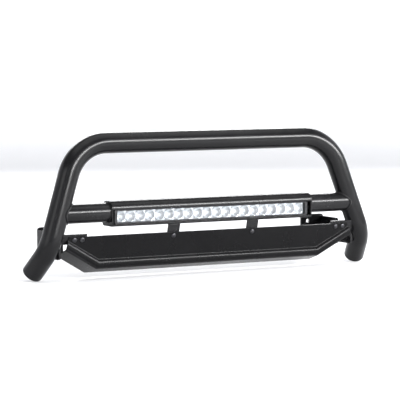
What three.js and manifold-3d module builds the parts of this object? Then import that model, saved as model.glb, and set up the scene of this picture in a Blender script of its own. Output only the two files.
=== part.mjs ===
// Front grille guard (bull bar) for a large SUV or pickup.
//
// A bent steel hoop carries a cross member with a recessed, tiltable LED light bar, and a folded
// skid plate below it. Two bolted brackets tie the legs to the vehicle frame.
//
// Millimetres, +X to the guard's right as seen from the front, +Y to the rear, +Z up.
// Drawn around the axis of the cross member, then moved so that the origin is midway between the
// rear faces of the two bracket feet, where the guard is bolted to the vehicle.

import * as THREE from 'three';
import { mergeVertices } from 'three/addons/utils/BufferGeometryUtils.js';
import Module from 'manifold-3d';

const wasm = await Module();
wasm.setup();

// ---------------------------------------------------------------------------
// Driving dimensions
// ---------------------------------------------------------------------------

const GAP = 0.3; // between pieces that touch on the real guard
const rad = THREE.MathUtils.degToRad;

const TUBE = { radius: 35, wall: 2.5, sides: 24, boreSides: 12 };
const CROSS_TUBE = { radius: 31.75, wall: 2.5, sides: 22 };

const HOOP = {
  topRise: 224, // top tube axis above the cross axis
  topHalf: 375, // half of the straight top
  topBend: 146, // centreline radius of the upper corners
  splay: rad(18.7), // legs lean outwards by this
  lean: rad(5.3), // and the top leans back by this
  legLength: 205, // straight leg below the corner
  footBend: 105, // centreline radius of the lower bend
  footAngle: rad(45), // how far the foot turns to the rear
  footLength: 69, // straight foot below the bend
  bendStep: rad(9),
};

const POCKET = {
  halfLength: 376,
  wall: 3,
  front: -36,
  rear: 36,
  top: 38,
  bottom: -45,
  topRadius: 27,
  rearFootRadius: 12,
  lipRadius: 6,
  windowTop: 11,
  windowBottom: -39,
  endPlate: 4,
};
const SPANNER_SLOT = { x: 366, half: 7, front: -22, back: 8 }; // below each pivot bolt
const POCKET_VENT = { count: 6, pitch: 108, width: 80, height: 34, level: -8 };

const LIGHT = {
  pivotY: -4, // pivot axis from the cross axis
  pivotZ: -14,
  halfLength: 361.7,
  halfHeight: 23,
  front: -24, // all depths below are measured from the pivot axis
  bezelBack: -18.3,
  bodyFront: -18,
  floor: 0,
  webBack: 6,
  finBack: 22,
  finCount: 8,
  finThickness: 2.2,
  channelHalf: 20,
  endCap: 5,
};
const LED_COUNT = 20;
const OPTIC_HALF_LENGTH = 359;
const OPTIC_HALF_HEIGHT = 19.6;
const BEZEL = { insideX: 358, insideZ: 19, corner: 3 };
const LENS = { front: -17.9, back: -14.9, corner: 2 };
const GASKET = { insideX: 357, insideZ: 18.2, corner: 2, front: -14.6, back: -13.1 };
const BOARD_SHEET = { halfHeight: 19, front: -1.9 };
const DIODE = { size: 5, height: 1.4, middle: -2.4 };
const END_SCREWS = [
  [-17, -17],
  [-17, 17],
  [16, -17.5],
  [16, 17.5],
];
const END_SCREW_HOLE = 1.9;
const CUP = { mouth: 17.2, middle: 12.5, throat: 4.5, front: -12.8, back: -2.2, sides: 12 };

const LIGHT_BRACKET = {
  thickness: 2.5,
  width: 22,
  footHeight: 36,
  footInner: 342,
  screwX: 354,
  screwZ: 11,
  screwHole: 3.3,
  pivotHole: 4.3,
};

const PLATE = {
  thickness: 3,
  lean: rad(15), // the face falls back by this towards its lower edge
  baseY: -5, // the base line that the lower edge is drawn from, from the cross axis
  baseZ: -159,
  height: 90, // along the face, base line to upper edge
  faceEnd: 12, // where the face ends above the base line
  topHalf: 532,
  sideHalf: 538, // half width where the slanted ends of the base line finish
  sideRise: 70, // height of those ends above its level stretch
  lowHalf: 418, // half width of the level stretch
  jogRadius: 5, // bend from the face forwards to the nose
  jogTurn: rad(60),
  noseRadius: 18,
  lipTurn: rad(60), // from the face's direction to the lip, which runs back under the guard
  lipLength: 67,
  lipEnd: 541, // the lip is trimmed here, inside the legs
  jogSteps: 3,
  noseSteps: 8,
};
const PLATE_TAB = { thickness: 5, inner: 466, low: 64, high: 98, blankEnd: 568 };
const PLATE_BOLTS = { outer: { x: 511, rise: 80 }, inner: { x: 483, rise: 80 } };
const HANGER = { x: 150, halfWidth: 22, low: 62, blankTop: 132, thickness: 4, boltRise: 78 };

const GUSSET = { thickness: 8, inner: 553, front: -14, back: 112, low: -146, high: -70, corner: 12 };
const FRAME_BRACKET = {
  thickness: 8,
  webFront: 62,
  webBack: 168,
  low: -152,
  high: -62,
  footInner: 462,
  footLow: -160,
  footHigh: -54,
  cornerRadius: 10,
  slotHalf: 7,
  footHoleRadius: 7,
  footHoleX: 489,
  footHoleRise: 30,
};
const FRAME_BOLT = {
  radius: 6,
  head: 10.4,
  headHeight: 7.5,
  nutHeight: 10,
  flange: 13,
  flangeThickness: 2.5,
};
const FRAME_BOLTS = { upper: { y: 88, z: -91 }, lower: { y: 88, z: -125 } };

// ---------------------------------------------------------------------------
// Materials
// ---------------------------------------------------------------------------

const material = (color, roughness, metalness) =>
  new THREE.MeshStandardMaterial({ color, roughness, metalness });

const POWDER_COAT = material(0x141416, 0.38, 0.0);
const PLATE_COAT = material(0x0f0f11, 0.45, 0.0);
const CAST_BLACK = material(0x1b1b1d, 0.5, 0.4);
const BLACK_ZINC = material(0x26262a, 0.4, 0.8);
const BRIGHT_ZINC = material(0xa9adb0, 0.35, 0.9);
const MIRROR = material(0xdfe3e6, 0.12, 1.0);
const CLEAR = new THREE.MeshStandardMaterial({
  color: 0xf2f6f8,
  roughness: 0.08,
  transparent: true,
  opacity: 0.35,
});
const SEAL = material(0x0c0c0c, 0.85, 0.0);
const BOARD = material(0xe8ebe6, 0.6, 0.0);

// ---------------------------------------------------------------------------
// Geometry helpers
// ---------------------------------------------------------------------------

function toSolid(geometry) {
  const bare = geometry.clone();
  bare.deleteAttribute('normal');
  bare.deleteAttribute('uv');
  const merged = mergeVertices(bare, 1e-4);
  return new wasm.Manifold(
    new wasm.Mesh({
      numProp: 3,
      vertProperties: new Float32Array(merged.attributes.position.array),
      triVerts: new Uint32Array(merged.index.array),
    }),
  );
}

function toGeometry(solid) {
  const mesh = solid.getMesh();
  const geometry = new THREE.BufferGeometry();
  geometry.setAttribute('position', new THREE.BufferAttribute(mesh.vertProperties, 3));
  geometry.setIndex(new THREE.BufferAttribute(mesh.triVerts, 1));
  geometry.computeVertexNormals();
  return geometry;
}

function cut(geometry, ...cutters) {
  let solid = toSolid(geometry);
  for (const cutter of cutters) {
    solid = solid.subtract(toSolid(cutter));
  }
  return toGeometry(solid);
}

function join(...geometries) {
  const [first, ...others] = geometries.map(toSolid);
  return toGeometry(others.reduce((whole, piece) => whole.add(piece), first));
}

// The biggest body of a shape that a cut has split.
function largestPiece(geometry) {
  const pieces = toSolid(geometry).decompose();
  return toGeometry(pieces.reduce((best, piece) => (piece.volume() > best.volume() ? piece : best)));
}

// The same shape on the other side of the guard, with its faces still pointing out.
function mirrored(geometry) {
  const bare = geometry.clone();
  bare.deleteAttribute('normal');
  bare.deleteAttribute('uv');
  const copy = mergeVertices(bare, 1e-4).scale(-1, 1, 1);
  const index = copy.index.array;
  for (let i = 0; i < index.length; i += 3) {
    [index[i + 1], index[i + 2]] = [index[i + 2], index[i + 1]];
  }
  return copy;
}

function extrude(shape, depth, curveSegments) {
  return new THREE.ExtrudeGeometry(shape, { depth, bevelEnabled: false, curveSegments });
}

// A (Y, Z) outline drawn out along X.
function prismX(shape, from, to, curveSegments = 4) {
  const geometry = extrude(shape, to - from, curveSegments);
  const basis = new THREE.Matrix4().makeBasis(
    new THREE.Vector3(0, 1, 0),
    new THREE.Vector3(0, 0, 1),
    new THREE.Vector3(1, 0, 0),
  );
  return geometry.applyMatrix4(basis.setPosition(from, 0, 0));
}

// An (X, Z) outline drawn out along Y.
function prismY(shape, from, to, curveSegments = 4) {
  const geometry = extrude(shape, to - from, curveSegments);
  const basis = new THREE.Matrix4().makeBasis(
    new THREE.Vector3(1, 0, 0),
    new THREE.Vector3(0, 0, 1),
    new THREE.Vector3(0, -1, 0),
  );
  return geometry.applyMatrix4(basis.setPosition(0, to, 0));
}

function polygon(points) {
  return new THREE.Shape(points.map(([x, y]) => new THREE.Vector2(x, y)));
}

function rectangle(x0, y0, x1, y1) {
  return polygon([
    [x0, y0],
    [x1, y0],
    [x1, y1],
    [x0, y1],
  ]);
}

// Rounded rectangle with one radius for each corner, from the lower left one counter-clockwise.
function roundedRectangle(x0, y0, x1, y1, r0, r1 = r0, r2 = r0, r3 = r0) {
  const quarter = Math.PI / 2;
  const shape = new THREE.Shape();
  shape.absarc(x0 + r0, y0 + r0, r0, 2 * quarter, 3 * quarter, false);
  shape.absarc(x1 - r1, y0 + r1, r1, 3 * quarter, 4 * quarter, false);
  shape.absarc(x1 - r2, y1 - r2, r2, 0, quarter, false);
  shape.absarc(x0 + r3, y1 - r3, r3, quarter, 2 * quarter, false);
  shape.closePath();
  return shape;
}

function disc(radius) {
  const shape = new THREE.Shape();
  shape.absarc(0, 0, radius, 0, 2 * Math.PI, false);
  return shape;
}

function ring(radius, bore) {
  const shape = disc(radius);
  shape.holes.push(disc(bore));
  return shape;
}

// Cylinder or, with 6 sides, a hexagon, between two places on an axis of X or Y.
function rodX(radius, from, to, y, z, sides = 12) {
  const geometry = new THREE.CylinderGeometry(radius, radius, to - from, sides);
  return geometry.rotateZ(-Math.PI / 2).translate((from + to) / 2, y, z);
}

function rodY(radius, from, to, x, z, sides = 12) {
  const geometry = new THREE.CylinderGeometry(radius, radius, to - from, sides);
  return geometry.translate(x, (from + to) / 2, z);
}

function lathe(profile, segments = 14) {
  return new THREE.LatheGeometry(profile.map(([r, y]) => new THREE.Vector2(r, y)), segments);
}

const guard = new THREE.Group();
const assembly = new THREE.Group();
guard.add(assembly);

function add(name, geometry, finish, parent = assembly) {
  const mesh = new THREE.Mesh(geometry, finish);
  mesh.name = name;
  parent.add(mesh);
  return mesh;
}

function addPair(name, rightGeometry, finish, parent = assembly) {
  add(`${name}_right`, rightGeometry, finish, parent);
  add(`${name}_left`, mirrored(rightGeometry), finish, parent);
}

// ---------------------------------------------------------------------------
// Hoop: one bent tube, with a pressed cap on each foot
// ---------------------------------------------------------------------------

// A path given by stations, so that straight runs need no steps of their own.
class StationPath extends THREE.Curve {
  constructor(stations) {
    super();
    this.stations = stations;
  }

  station(t) {
    return this.stations[Math.round(t * (this.stations.length - 1))];
  }

  getPoint(t, target = new THREE.Vector3()) {
    return target.copy(this.station(t).point);
  }

  getPointAt(t, target) {
    return this.getPoint(t, target);
  }

  getTangentAt(t, target = new THREE.Vector3()) {
    return target.copy(this.station(t).tangent);
  }
}

// Across, down the leg and to the rear in the leaning plane of the hoop.
function hoopVector(across, down, back) {
  const { lean } = HOOP;
  return new THREE.Vector3(
    across,
    back * Math.cos(lean) - down * Math.sin(lean),
    -down * Math.cos(lean) - back * Math.sin(lean),
  );
}

function hoopPoint(across, down, back) {
  const top = new THREE.Vector3(0, HOOP.topRise * Math.tan(HOOP.lean), HOOP.topRise);
  return hoopVector(across, down, back).add(top);
}

// Stations of the right half, from the end of the straight top to the end of the foot.
function rightHalfStations() {
  const { topHalf, topBend, splay, legLength, footBend, footAngle, footLength, bendStep } = HOOP;
  const stations = [];
  const put = (position, direction) =>
    stations.push({ point: hoopPoint(...position), tangent: hoopVector(...direction) });

  const cornerTurn = Math.PI / 2 - splay;
  const cornerSteps = Math.round(cornerTurn / bendStep);
  for (let i = 0; i <= cornerSteps; i += 1) {
    const turn = (cornerTurn * i) / cornerSteps;
    const position = [topHalf + topBend * Math.sin(turn), topBend * (1 - Math.cos(turn)), 0];
    put(position, [Math.cos(turn), Math.sin(turn), 0]);
  }

  const legDirection = [Math.sin(splay), Math.cos(splay)];
  const legStart = [topHalf + topBend * Math.sin(cornerTurn), topBend * (1 - Math.cos(cornerTurn))];
  const along = (length, back) => [
    legStart[0] + legDirection[0] * length,
    legStart[1] + legDirection[1] * length,
    back,
  ];
  const footSteps = Math.round(footAngle / bendStep);
  for (let i = 0; i <= footSteps; i += 1) {
    const turn = (footAngle * i) / footSteps;
    const position = along(legLength + footBend * Math.sin(turn), footBend * (1 - Math.cos(turn)));
    put(position, [legDirection[0] * Math.cos(turn), legDirection[1] * Math.cos(turn), Math.sin(turn)]);
  }

  const last = stations.at(-1);
  stations.push({
    point: last.point.clone().addScaledVector(last.tangent, footLength),
    tangent: last.tangent.clone(),
  });
  return stations;
}

function hoopPath() {
  const right = rightHalfStations();
  const left = right
    .map(({ point, tangent }) => ({
      point: new THREE.Vector3(-point.x, point.y, point.z),
      tangent: new THREE.Vector3(tangent.x, -tangent.y, -tangent.z),
    }))
    .reverse();
  return new StationPath([...left, ...right]);
}

const HOOP_PATH = hoopPath();

function sweepHoop(shape, curveSegments) {
  return new THREE.ExtrudeGeometry(shape, {
    steps: HOOP_PATH.stations.length - 1,
    extrudePath: HOOP_PATH,
    curveSegments,
  });
}

function hoopTube() {
  const bore = new THREE.Path(disc(TUBE.radius - TUBE.wall).getPoints(TUBE.boreSides / 2).slice(0, -1));
  const shape = disc(TUBE.radius);
  shape.holes.push(bore);
  return sweepHoop(shape, TUBE.sides / 2);
}

// The room that the hoop needs, for cutting whatever meets it.
const HOOP_ROOM = sweepHoop(disc(TUBE.radius + GAP), TUBE.sides / 2);

function hoopEndCap() {
  const { point, tangent } = HOOP_PATH.stations.at(-1);
  const edge = TUBE.radius - 0.5;
  const profile = [
    [0, GAP],
    [edge, GAP],
    [edge, 2],
    [edge - 2, 3.5],
    [0, 3.5],
  ];
  const toFoot = new THREE.Quaternion().setFromUnitVectors(new THREE.Vector3(0, 1, 0), tangent);
  return lathe(profile, TUBE.sides).applyQuaternion(toFoot).translate(point.x, point.y, point.z);
}

add('hoop_tube', hoopTube(), POWDER_COAT);
addPair('hoop_end_cap', hoopEndCap(), POWDER_COAT);

// ---------------------------------------------------------------------------
// Cross member: two coped tubes and, between them, the pocket for the light bar
// ---------------------------------------------------------------------------

// Where the leg's axis passes the level of the cross member.
function legAxisAtCross() {
  const down = HOOP.topRise / Math.cos(HOOP.lean);
  const cornerTurn = Math.PI / 2 - HOOP.splay;
  const across = HOOP.topHalf + HOOP.topBend * Math.sin(cornerTurn);
  const cornerDepth = HOOP.topBend * (1 - Math.cos(cornerTurn));
  return across + (down - cornerDepth) * Math.tan(HOOP.splay);
}

const POCKET_END = POCKET.halfLength + GAP + POCKET.endPlate;

function crossTube() {
  const { radius, wall, sides } = CROSS_TUBE;
  return cut(prismX(ring(radius, radius - wall), POCKET_END + GAP, legAxisAtCross(), sides / 2), HOOP_ROOM);
}

function pocketOutline(inset = 0) {
  const { front, rear, top, bottom, lipRadius, rearFootRadius, topRadius } = POCKET;
  return roundedRectangle(
    front + inset,
    bottom + inset,
    rear - inset,
    top - inset,
    lipRadius - inset,
    rearFootRadius - inset,
    topRadius - inset,
    topRadius - inset,
  );
}

function pocketVents() {
  const { count, pitch, width, height, level } = POCKET_VENT;
  const centres = Array.from({ length: count }, (_, i) => (i - (count - 1) / 2) * pitch);
  return centres.map((x) => {
    const low = level - height / 2;
    const slot = roundedRectangle(x - width / 2, low, x + width / 2, low + height, height / 2 - 0.1);
    return prismY(slot, POCKET.rear - 2 * POCKET.wall, POCKET.rear + POCKET.wall);
  });
}

function lightPocket() {
  const { halfLength, front, wall, windowTop, windowBottom, rear, bottom } = POCKET;
  const shape = pocketOutline();
  shape.holes.push(pocketOutline(wall));
  const room = halfLength + 10;
  const window = prismX(rectangle(front - 5, windowBottom, front + wall + 1, windowTop), -room, room);
  const screwHoles = [];
  const spannerSlots = [];
  for (const side of [-1, 1]) {
    for (const rise of [-LIGHT_BRACKET.screwZ, LIGHT_BRACKET.screwZ]) {
      const z = LIGHT.pivotZ + rise;
      screwHoles.push(rodY(LIGHT_BRACKET.screwHole, rear - 8, rear + 5, side * LIGHT_BRACKET.screwX, z));
    }
    const middle = side * SPANNER_SLOT.x;
    const { half, front: slotFront, back: slotBack } = SPANNER_SLOT;
    const slot = roundedRectangle(middle - half, slotFront, middle + half, slotBack, half - 0.1);
    spannerSlots.push(extrude(slot, 4 * wall, 4).translate(0, 0, bottom - 2 * wall));
  }
  const shell = prismX(shape, -halfLength, halfLength);
  return cut(shell, window, ...pocketVents(), ...screwHoles, ...spannerSlots);
}

add('light_pocket', lightPocket(), POWDER_COAT);
addPair('pocket_end_plate', prismX(pocketOutline(), POCKET.halfLength + GAP, POCKET_END), POWDER_COAT);
addPair('cross_tube', crossTube(), POWDER_COAT);

// ---------------------------------------------------------------------------
// Light bar, drawn around its pivot axis
// ---------------------------------------------------------------------------

const lightBar = new THREE.Group();
lightBar.position.set(0, LIGHT.pivotY, LIGHT.pivotZ);
assembly.add(lightBar);

const GLAND_X = 270;
const BOSS_HALF = 15;

function lightHousing() {
  const { halfHeight, bodyFront, webBack, finBack, finCount, finThickness, channelHalf, floor } = LIGHT;
  const outline = [[bodyFront, -halfHeight]];
  const pitch = (2 * halfHeight - finThickness) / (finCount - 1);
  for (let i = 0; i < finCount; i += 1) {
    const z = -halfHeight + i * pitch;
    if (i > 0) {
      outline.push([webBack, z]);
    }
    outline.push([finBack, z], [finBack, z + finThickness]);
    if (i < finCount - 1) {
      outline.push([webBack, z + finThickness]);
    }
  }
  outline.push([bodyFront, halfHeight], [bodyFront, channelHalf], [floor, channelHalf]);
  outline.push([floor, -channelHalf], [bodyFront, -channelHalf]);
  const body = prismX(polygon(outline), -LIGHT.halfLength, LIGHT.halfLength);
  const clearings = [-GLAND_X, GLAND_X].map((x) =>
    prismY(rectangle(x - BOSS_HALF, -13, x + BOSS_HALF, 13), webBack, finBack + 5),
  );
  return cut(body, ...clearings);
}

function frameXZ(halfX, halfZ, insideX, insideZ, corner, from, to) {
  const shape = roundedRectangle(-halfX, -halfZ, halfX, halfZ, corner);
  shape.holes.push(roundedRectangle(-insideX, -insideZ, insideX, insideZ, corner / 2));
  return prismY(shape, from, to, 4);
}

const LED_PITCH = (2 * OPTIC_HALF_LENGTH) / LED_COUNT;
const LED_PLACES = Array.from({ length: LED_COUNT }, (_, i) => (i - (LED_COUNT - 1) / 2) * LED_PITCH);

function reflectorStrip() {
  const halfX = OPTIC_HALF_LENGTH;
  const halfZ = OPTIC_HALF_HEIGHT;
  const strip = prismY(rectangle(-halfX, -halfZ, halfX, halfZ), CUP.front, CUP.back);
  const middle = CUP.back + (CUP.front - CUP.back) * 0.4;
  const cutterProfile = [
    [0, CUP.front - 1],
    [CUP.mouth, CUP.front - 1],
    [CUP.mouth, CUP.front],
    [CUP.middle, middle],
    [CUP.throat, CUP.back],
    [CUP.throat, CUP.back + 1],
    [0, CUP.back + 1],
  ];
  const cups = LED_PLACES.map((x) => lathe(cutterProfile, CUP.sides).translate(x, 0, 0));
  return cut(strip, ...cups);
}

function lightEndCap() {
  const { front, finBack, halfHeight, halfLength, endCap } = LIGHT;
  const from = halfLength + GAP;
  const cap = prismX(roundedRectangle(front, -halfHeight, finBack, halfHeight, 3), from, from + endCap);
  const screwHoles = END_SCREWS.map(([y, z]) => rodX(END_SCREW_HOLE, from - 1, from + endCap + 1, y, z, 8));
  return cut(cap, rodX(LIGHT_BRACKET.pivotHole, from - 1, from + endCap + 1, 0, 0), ...screwHoles);
}

const CAP_FACE = LIGHT.halfLength + GAP + LIGHT.endCap;

// The board and its soldered diodes, one behind each cup.
function ledBoard() {
  const { halfHeight, front } = BOARD_SHEET;
  const { size, height, middle } = DIODE;
  const sheet = rectangle(-OPTIC_HALF_LENGTH, -halfHeight, OPTIC_HALF_LENGTH, halfHeight);
  const board = prismY(sheet, front, -GAP);
  const diodes = LED_PLACES.map((x) => new THREE.BoxGeometry(size, height, size).translate(x, middle, 0));
  return join(board, ...diodes);
}

function cableGland() {
  const body = lathe([
    [0, LIGHT.webBack + GAP],
    [9, LIGHT.webBack + GAP],
    [9, LIGHT.webBack + 5],
    [7.5, LIGHT.webBack + 5.5],
    [7.5, LIGHT.webBack + 12],
    [5.5, LIGHT.webBack + 16],
    [3.2, LIGHT.webBack + 16],
    [3.2, LIGHT.webBack + 8],
    [0, LIGHT.webBack + 8],
  ]);
  return body.translate(GLAND_X, 0, 0);
}

function breatherVent() {
  const body = lathe([
    [0, LIGHT.webBack + GAP],
    [7, LIGHT.webBack + GAP],
    [7, LIGHT.webBack + 3],
    [5.5, LIGHT.webBack + 6],
    [0, LIGHT.webBack + 6.5],
  ]);
  return body.translate(-GLAND_X, 0, 0);
}

const BRACKET_FACE = CAP_FACE + 0.5;
const BRACKET_OUTER = BRACKET_FACE + LIGHT_BRACKET.thickness;
const PIVOT_WASHER = { radius: 8, thickness: 1 };
const PIVOT_HEAD = { radius: 6.5, height: 3 };

function pivotWasher() {
  const shape = ring(PIVOT_WASHER.radius, LIGHT_BRACKET.pivotHole);
  return prismX(shape, BRACKET_OUTER + GAP, BRACKET_OUTER + GAP + PIVOT_WASHER.thickness, 10);
}

function pivotBolt() {
  const seat = BRACKET_OUTER + GAP + PIVOT_WASHER.thickness + GAP;
  return join(
    rodX(PIVOT_HEAD.radius, seat, seat + PIVOT_HEAD.height, 0, 0, 6),
    rodX(4, CAP_FACE - LIGHT.endCap + GAP, seat + 1, 0, 0),
  );
}

const LENS_HALF_LENGTH = OPTIC_HALF_LENGTH + 1;

function lightBezel() {
  const { halfLength, halfHeight, front, bezelBack } = LIGHT;
  return frameXZ(halfLength, halfHeight, BEZEL.insideX, BEZEL.insideZ, BEZEL.corner, front, bezelBack);
}

function lightLens() {
  const halfX = LENS_HALF_LENGTH;
  const halfZ = OPTIC_HALF_HEIGHT;
  return prismY(roundedRectangle(-halfX, -halfZ, halfX, halfZ, LENS.corner), LENS.front, LENS.back, 4);
}

function lensGasket() {
  const { insideX, insideZ, corner, front, back } = GASKET;
  return frameXZ(LENS_HALF_LENGTH, OPTIC_HALF_HEIGHT, insideX, insideZ, corner, front, back);
}

add('light_housing', lightHousing(), CAST_BLACK, lightBar);
addPair('light_end_cap', lightEndCap(), CAST_BLACK, lightBar);
add('light_bezel', lightBezel(), CAST_BLACK, lightBar);
add('light_lens', lightLens(), CLEAR, lightBar);
add('lens_gasket', lensGasket(), SEAL, lightBar);
add('reflector_strip', reflectorStrip(), MIRROR, lightBar);
add('led_board', ledBoard(), BOARD, lightBar);
add('cable_gland', cableGland(), SEAL, lightBar);
add('breather_vent', breatherVent(), SEAL, lightBar);
addPair('light_pivot_bolt', pivotBolt(), BRIGHT_ZINC, lightBar);
addPair('light_pivot_washer', pivotWasher(), BRIGHT_ZINC, lightBar);

// ---------------------------------------------------------------------------
// Light brackets, fixed to the rear wall of the pocket
// ---------------------------------------------------------------------------

const WALL_FACE = POCKET.rear - POCKET.wall;

function lightBracket() {
  const { thickness, width, footHeight, footInner, screwX, screwZ, screwHole, pivotHole } = LIGHT_BRACKET;
  const back = WALL_FACE - GAP;
  const { pivotY, pivotZ } = LIGHT;
  const web = rectangle(pivotY - width / 2, pivotZ - width / 2, back, pivotZ + width / 2);
  const foot = rectangle(back - thickness, pivotZ - footHeight / 2, back, pivotZ + footHeight / 2);
  const bracket = join(prismX(web, BRACKET_FACE, BRACKET_OUTER), prismX(foot, footInner, BRACKET_OUTER));
  const holes = [-screwZ, screwZ].map((rise) => rodY(screwHole, back - 6, back + 2, screwX, pivotZ + rise));
  return cut(bracket, rodX(pivotHole, BRACKET_FACE - 2, BRACKET_OUTER + 2, pivotY, pivotZ), ...holes);
}

// A screw from behind the pocket, threaded into the bracket's foot.
function bracketScrew(z) {
  const x = LIGHT_BRACKET.screwX;
  const tip = WALL_FACE - GAP - LIGHT_BRACKET.thickness - 2;
  return join(
    rodY(5.5, POCKET.rear + GAP, POCKET.rear + GAP + 3.5, x, z, 6),
    rodY(3, tip, POCKET.rear + 1, x, z, 12),
  );
}

addPair('light_bracket', lightBracket(), POWDER_COAT);
addPair('light_bracket_screw_upper', bracketScrew(LIGHT.pivotZ + LIGHT_BRACKET.screwZ), BLACK_ZINC);
addPair('light_bracket_screw_lower', bracketScrew(LIGHT.pivotZ - LIGHT_BRACKET.screwZ), BLACK_ZINC);

// ---------------------------------------------------------------------------
// Skid plate: a folded sheet, drawn on its own leaning face
// ---------------------------------------------------------------------------

// In the plate's own axes the face lies at Y = 0 and the base line at Z = 0.
const PLATE_PLACE = new THREE.Matrix4().makeRotationX(PLATE.lean).setPosition(0, PLATE.baseY, PLATE.baseZ);

// The base line moved outwards in the plane of the face, with mitred corners and trimmed ends.
function lowerLine(outwards, depth) {
  const { sideHalf, sideRise, lowHalf, lipEnd } = PLATE;
  const slope = Math.atan2(sideRise, sideHalf - lowHalf);
  const corner = lowHalf + outwards * Math.tan(slope / 2);
  const end = Math.min(lipEnd, sideHalf + outwards * Math.sin(slope));
  const right = [
    [corner, -outwards],
    [end, (end - corner) * Math.tan(slope) - outwards],
  ];
  const left = right.map(([x, z]) => [-x, z]).reverse();
  return [...left, ...right].map(([x, z]) => new THREE.Vector3(x, depth, z));
}

// How far out and how deep one side of the sheet runs below the face: forwards round the jog, over the
// nose and back along the lip. A heading of 0 is straight down the face and a positive one is forwards.
function lowerProfile(skin) {
  const { faceEnd, jogRadius, jogTurn, noseRadius, lipTurn, lipLength, jogSteps, noseSteps } = PLATE;
  const points = [];
  for (let i = 0; i <= jogSteps; i += 1) {
    const heading = (jogTurn * i) / jogSteps;
    const radius = jogRadius + skin;
    points.push([radius * Math.sin(heading) - faceEnd, radius * Math.cos(heading) - jogRadius]);
  }
  const reach = jogRadius + noseRadius;
  const centre = [reach * Math.sin(jogTurn) - faceEnd, reach * Math.cos(jogTurn) - jogRadius];
  const radius = noseRadius - skin;
  for (let i = 1; i <= noseSteps; i += 1) {
    const heading = jogTurn - ((jogTurn + lipTurn) * i) / noseSteps;
    points.push([centre[0] - radius * Math.sin(heading), centre[1] - radius * Math.cos(heading)]);
  }
  const [out, depth] = points.at(-1);
  points.push([out + lipLength * Math.cos(lipTurn), depth + lipLength * Math.sin(lipTurn)]);
  return points;
}

// Rows of one side of the sheet, from its upper edge down to the edge of the lip.
function sheetRows(skin) {
  const { height, topHalf, lowHalf } = PLATE;
  const top = [-topHalf, -lowHalf, lowHalf, topHalf].map((x) => new THREE.Vector3(x, skin, height));
  return [top, ...lowerProfile(skin).map(([outwards, depth]) => lowerLine(outwards, depth))];
}

function skidSheet() {
  const loop = [...sheetRows(0), ...sheetRows(PLATE.thickness).reverse()];
  const rowCount = loop.length;
  const columns = loop[0].length;
  const positions = loop.flat().flatMap((point) => point.toArray());
  const at = (row, column) => (row % rowCount) * columns + column;
  const index = [];
  const quad = (a, b, c, d) => index.push(a, b, c, a, c, d);
  for (let row = 0; row < rowCount; row += 1) {
    for (let column = 0; column < columns - 1; column += 1) {
      quad(at(row, column), at(row + 1, column), at(row + 1, column + 1), at(row, column + 1));
    }
  }
  const half = rowCount / 2;
  for (let row = 0; row < half - 1; row += 1) {
    const inner = rowCount - 1 - row;
    quad(at(row, 0), at(inner, 0), at(inner - 1, 0), at(row + 1, 0));
    const edge = columns - 1;
    quad(at(row, edge), at(row + 1, edge), at(inner - 1, edge), at(inner, edge));
  }
  const geometry = new THREE.BufferGeometry();
  geometry.setAttribute('position', new THREE.Float32BufferAttribute(positions, 3));
  geometry.setIndex(index);
  return geometry;
}

// Bolts of the right half: how far out, how high on the face, and what they hold behind it.
const PLATE_BOLT_PLACES = {
  outer: { ...PLATE_BOLTS.outer, back: PLATE_TAB.thickness },
  inner: { ...PLATE_BOLTS.inner, back: PLATE_TAB.thickness },
  hanger: { x: HANGER.x, rise: HANGER.boltRise, back: HANGER.thickness },
};
const PLATE_BOLT = {
  radius: 4,
  hole: 4.4,
  head: 8,
  flange: 9,
  flangeThickness: 1.6,
  nut: 7.2,
  nutHeight: 7.5,
};

const inPlate = (geometry) => geometry.clone().applyMatrix4(PLATE_PLACE);

function skidPlate() {
  const holes = [-1, 1].flatMap((side) =>
    Object.values(PLATE_BOLT_PLACES).map(({ x, rise }) =>
      rodY(PLATE_BOLT.hole, -5, PLATE.thickness + 5, side * x, rise),
    ),
  );
  return inPlate(cut(skidSheet(), ...holes));
}

function plateTab() {
  const { thickness, inner, low, high, blankEnd } = PLATE_TAB;
  const front = PLATE.thickness + GAP;
  const blank = prismY(rectangle(inner, low, blankEnd, high), front, front + thickness);
  const holes = Object.values(PLATE_BOLTS).map(({ x, rise }) =>
    rodY(PLATE_BOLT.hole, front - 3, front + thickness + 3, x, rise),
  );
  return largestPiece(cut(inPlate(cut(blank, ...holes)), HOOP_ROOM));
}

// It reaches up to the bottom of the pocket, which cuts its upper end level.
function hanger() {
  const { x, halfWidth, low, blankTop, thickness, boltRise } = HANGER;
  const front = PLATE.thickness + GAP;
  const blank = prismY(rectangle(x - halfWidth, low, x + halfWidth, blankTop), front, front + thickness);
  const hole = rodY(PLATE_BOLT.hole, front - 3, front + thickness + 3, x, boltRise);
  const room = rectangle(2 * POCKET.front, POCKET.bottom - GAP, 2 * POCKET.rear, 0);
  const pocketRoom = prismX(room, 0, POCKET.halfLength);
  return cut(inPlate(cut(blank, hole)), pocketRoom);
}

function carriageBolt({ x, rise, back }) {
  const { radius, head, nutHeight } = PLATE_BOLT;
  const tip = PLATE.thickness + back + nutHeight + 3;
  const dome = lathe([
    [0, -4.2],
    [head * 0.45, -3.8],
    [head * 0.8, -2.6],
    [head, -GAP - 0.6],
    [head, -GAP],
    [0, -GAP],
  ]);
  return inPlate(join(dome.translate(x, 0, rise), rodY(radius, -1, tip, x, rise)));
}

function plateNut({ x, rise, back }) {
  const { nut, nutHeight, flange, flangeThickness, hole } = PLATE_BOLT;
  const from = PLATE.thickness + back + 2 * GAP;
  const base = rodY(flange, from, from + flangeThickness, x, rise);
  const blank = join(rodY(nut, from, from + nutHeight, x, rise, 6), base);
  return inPlate(cut(blank, rodY(hole, from - 2, from + nutHeight + 2, x, rise)));
}

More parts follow.
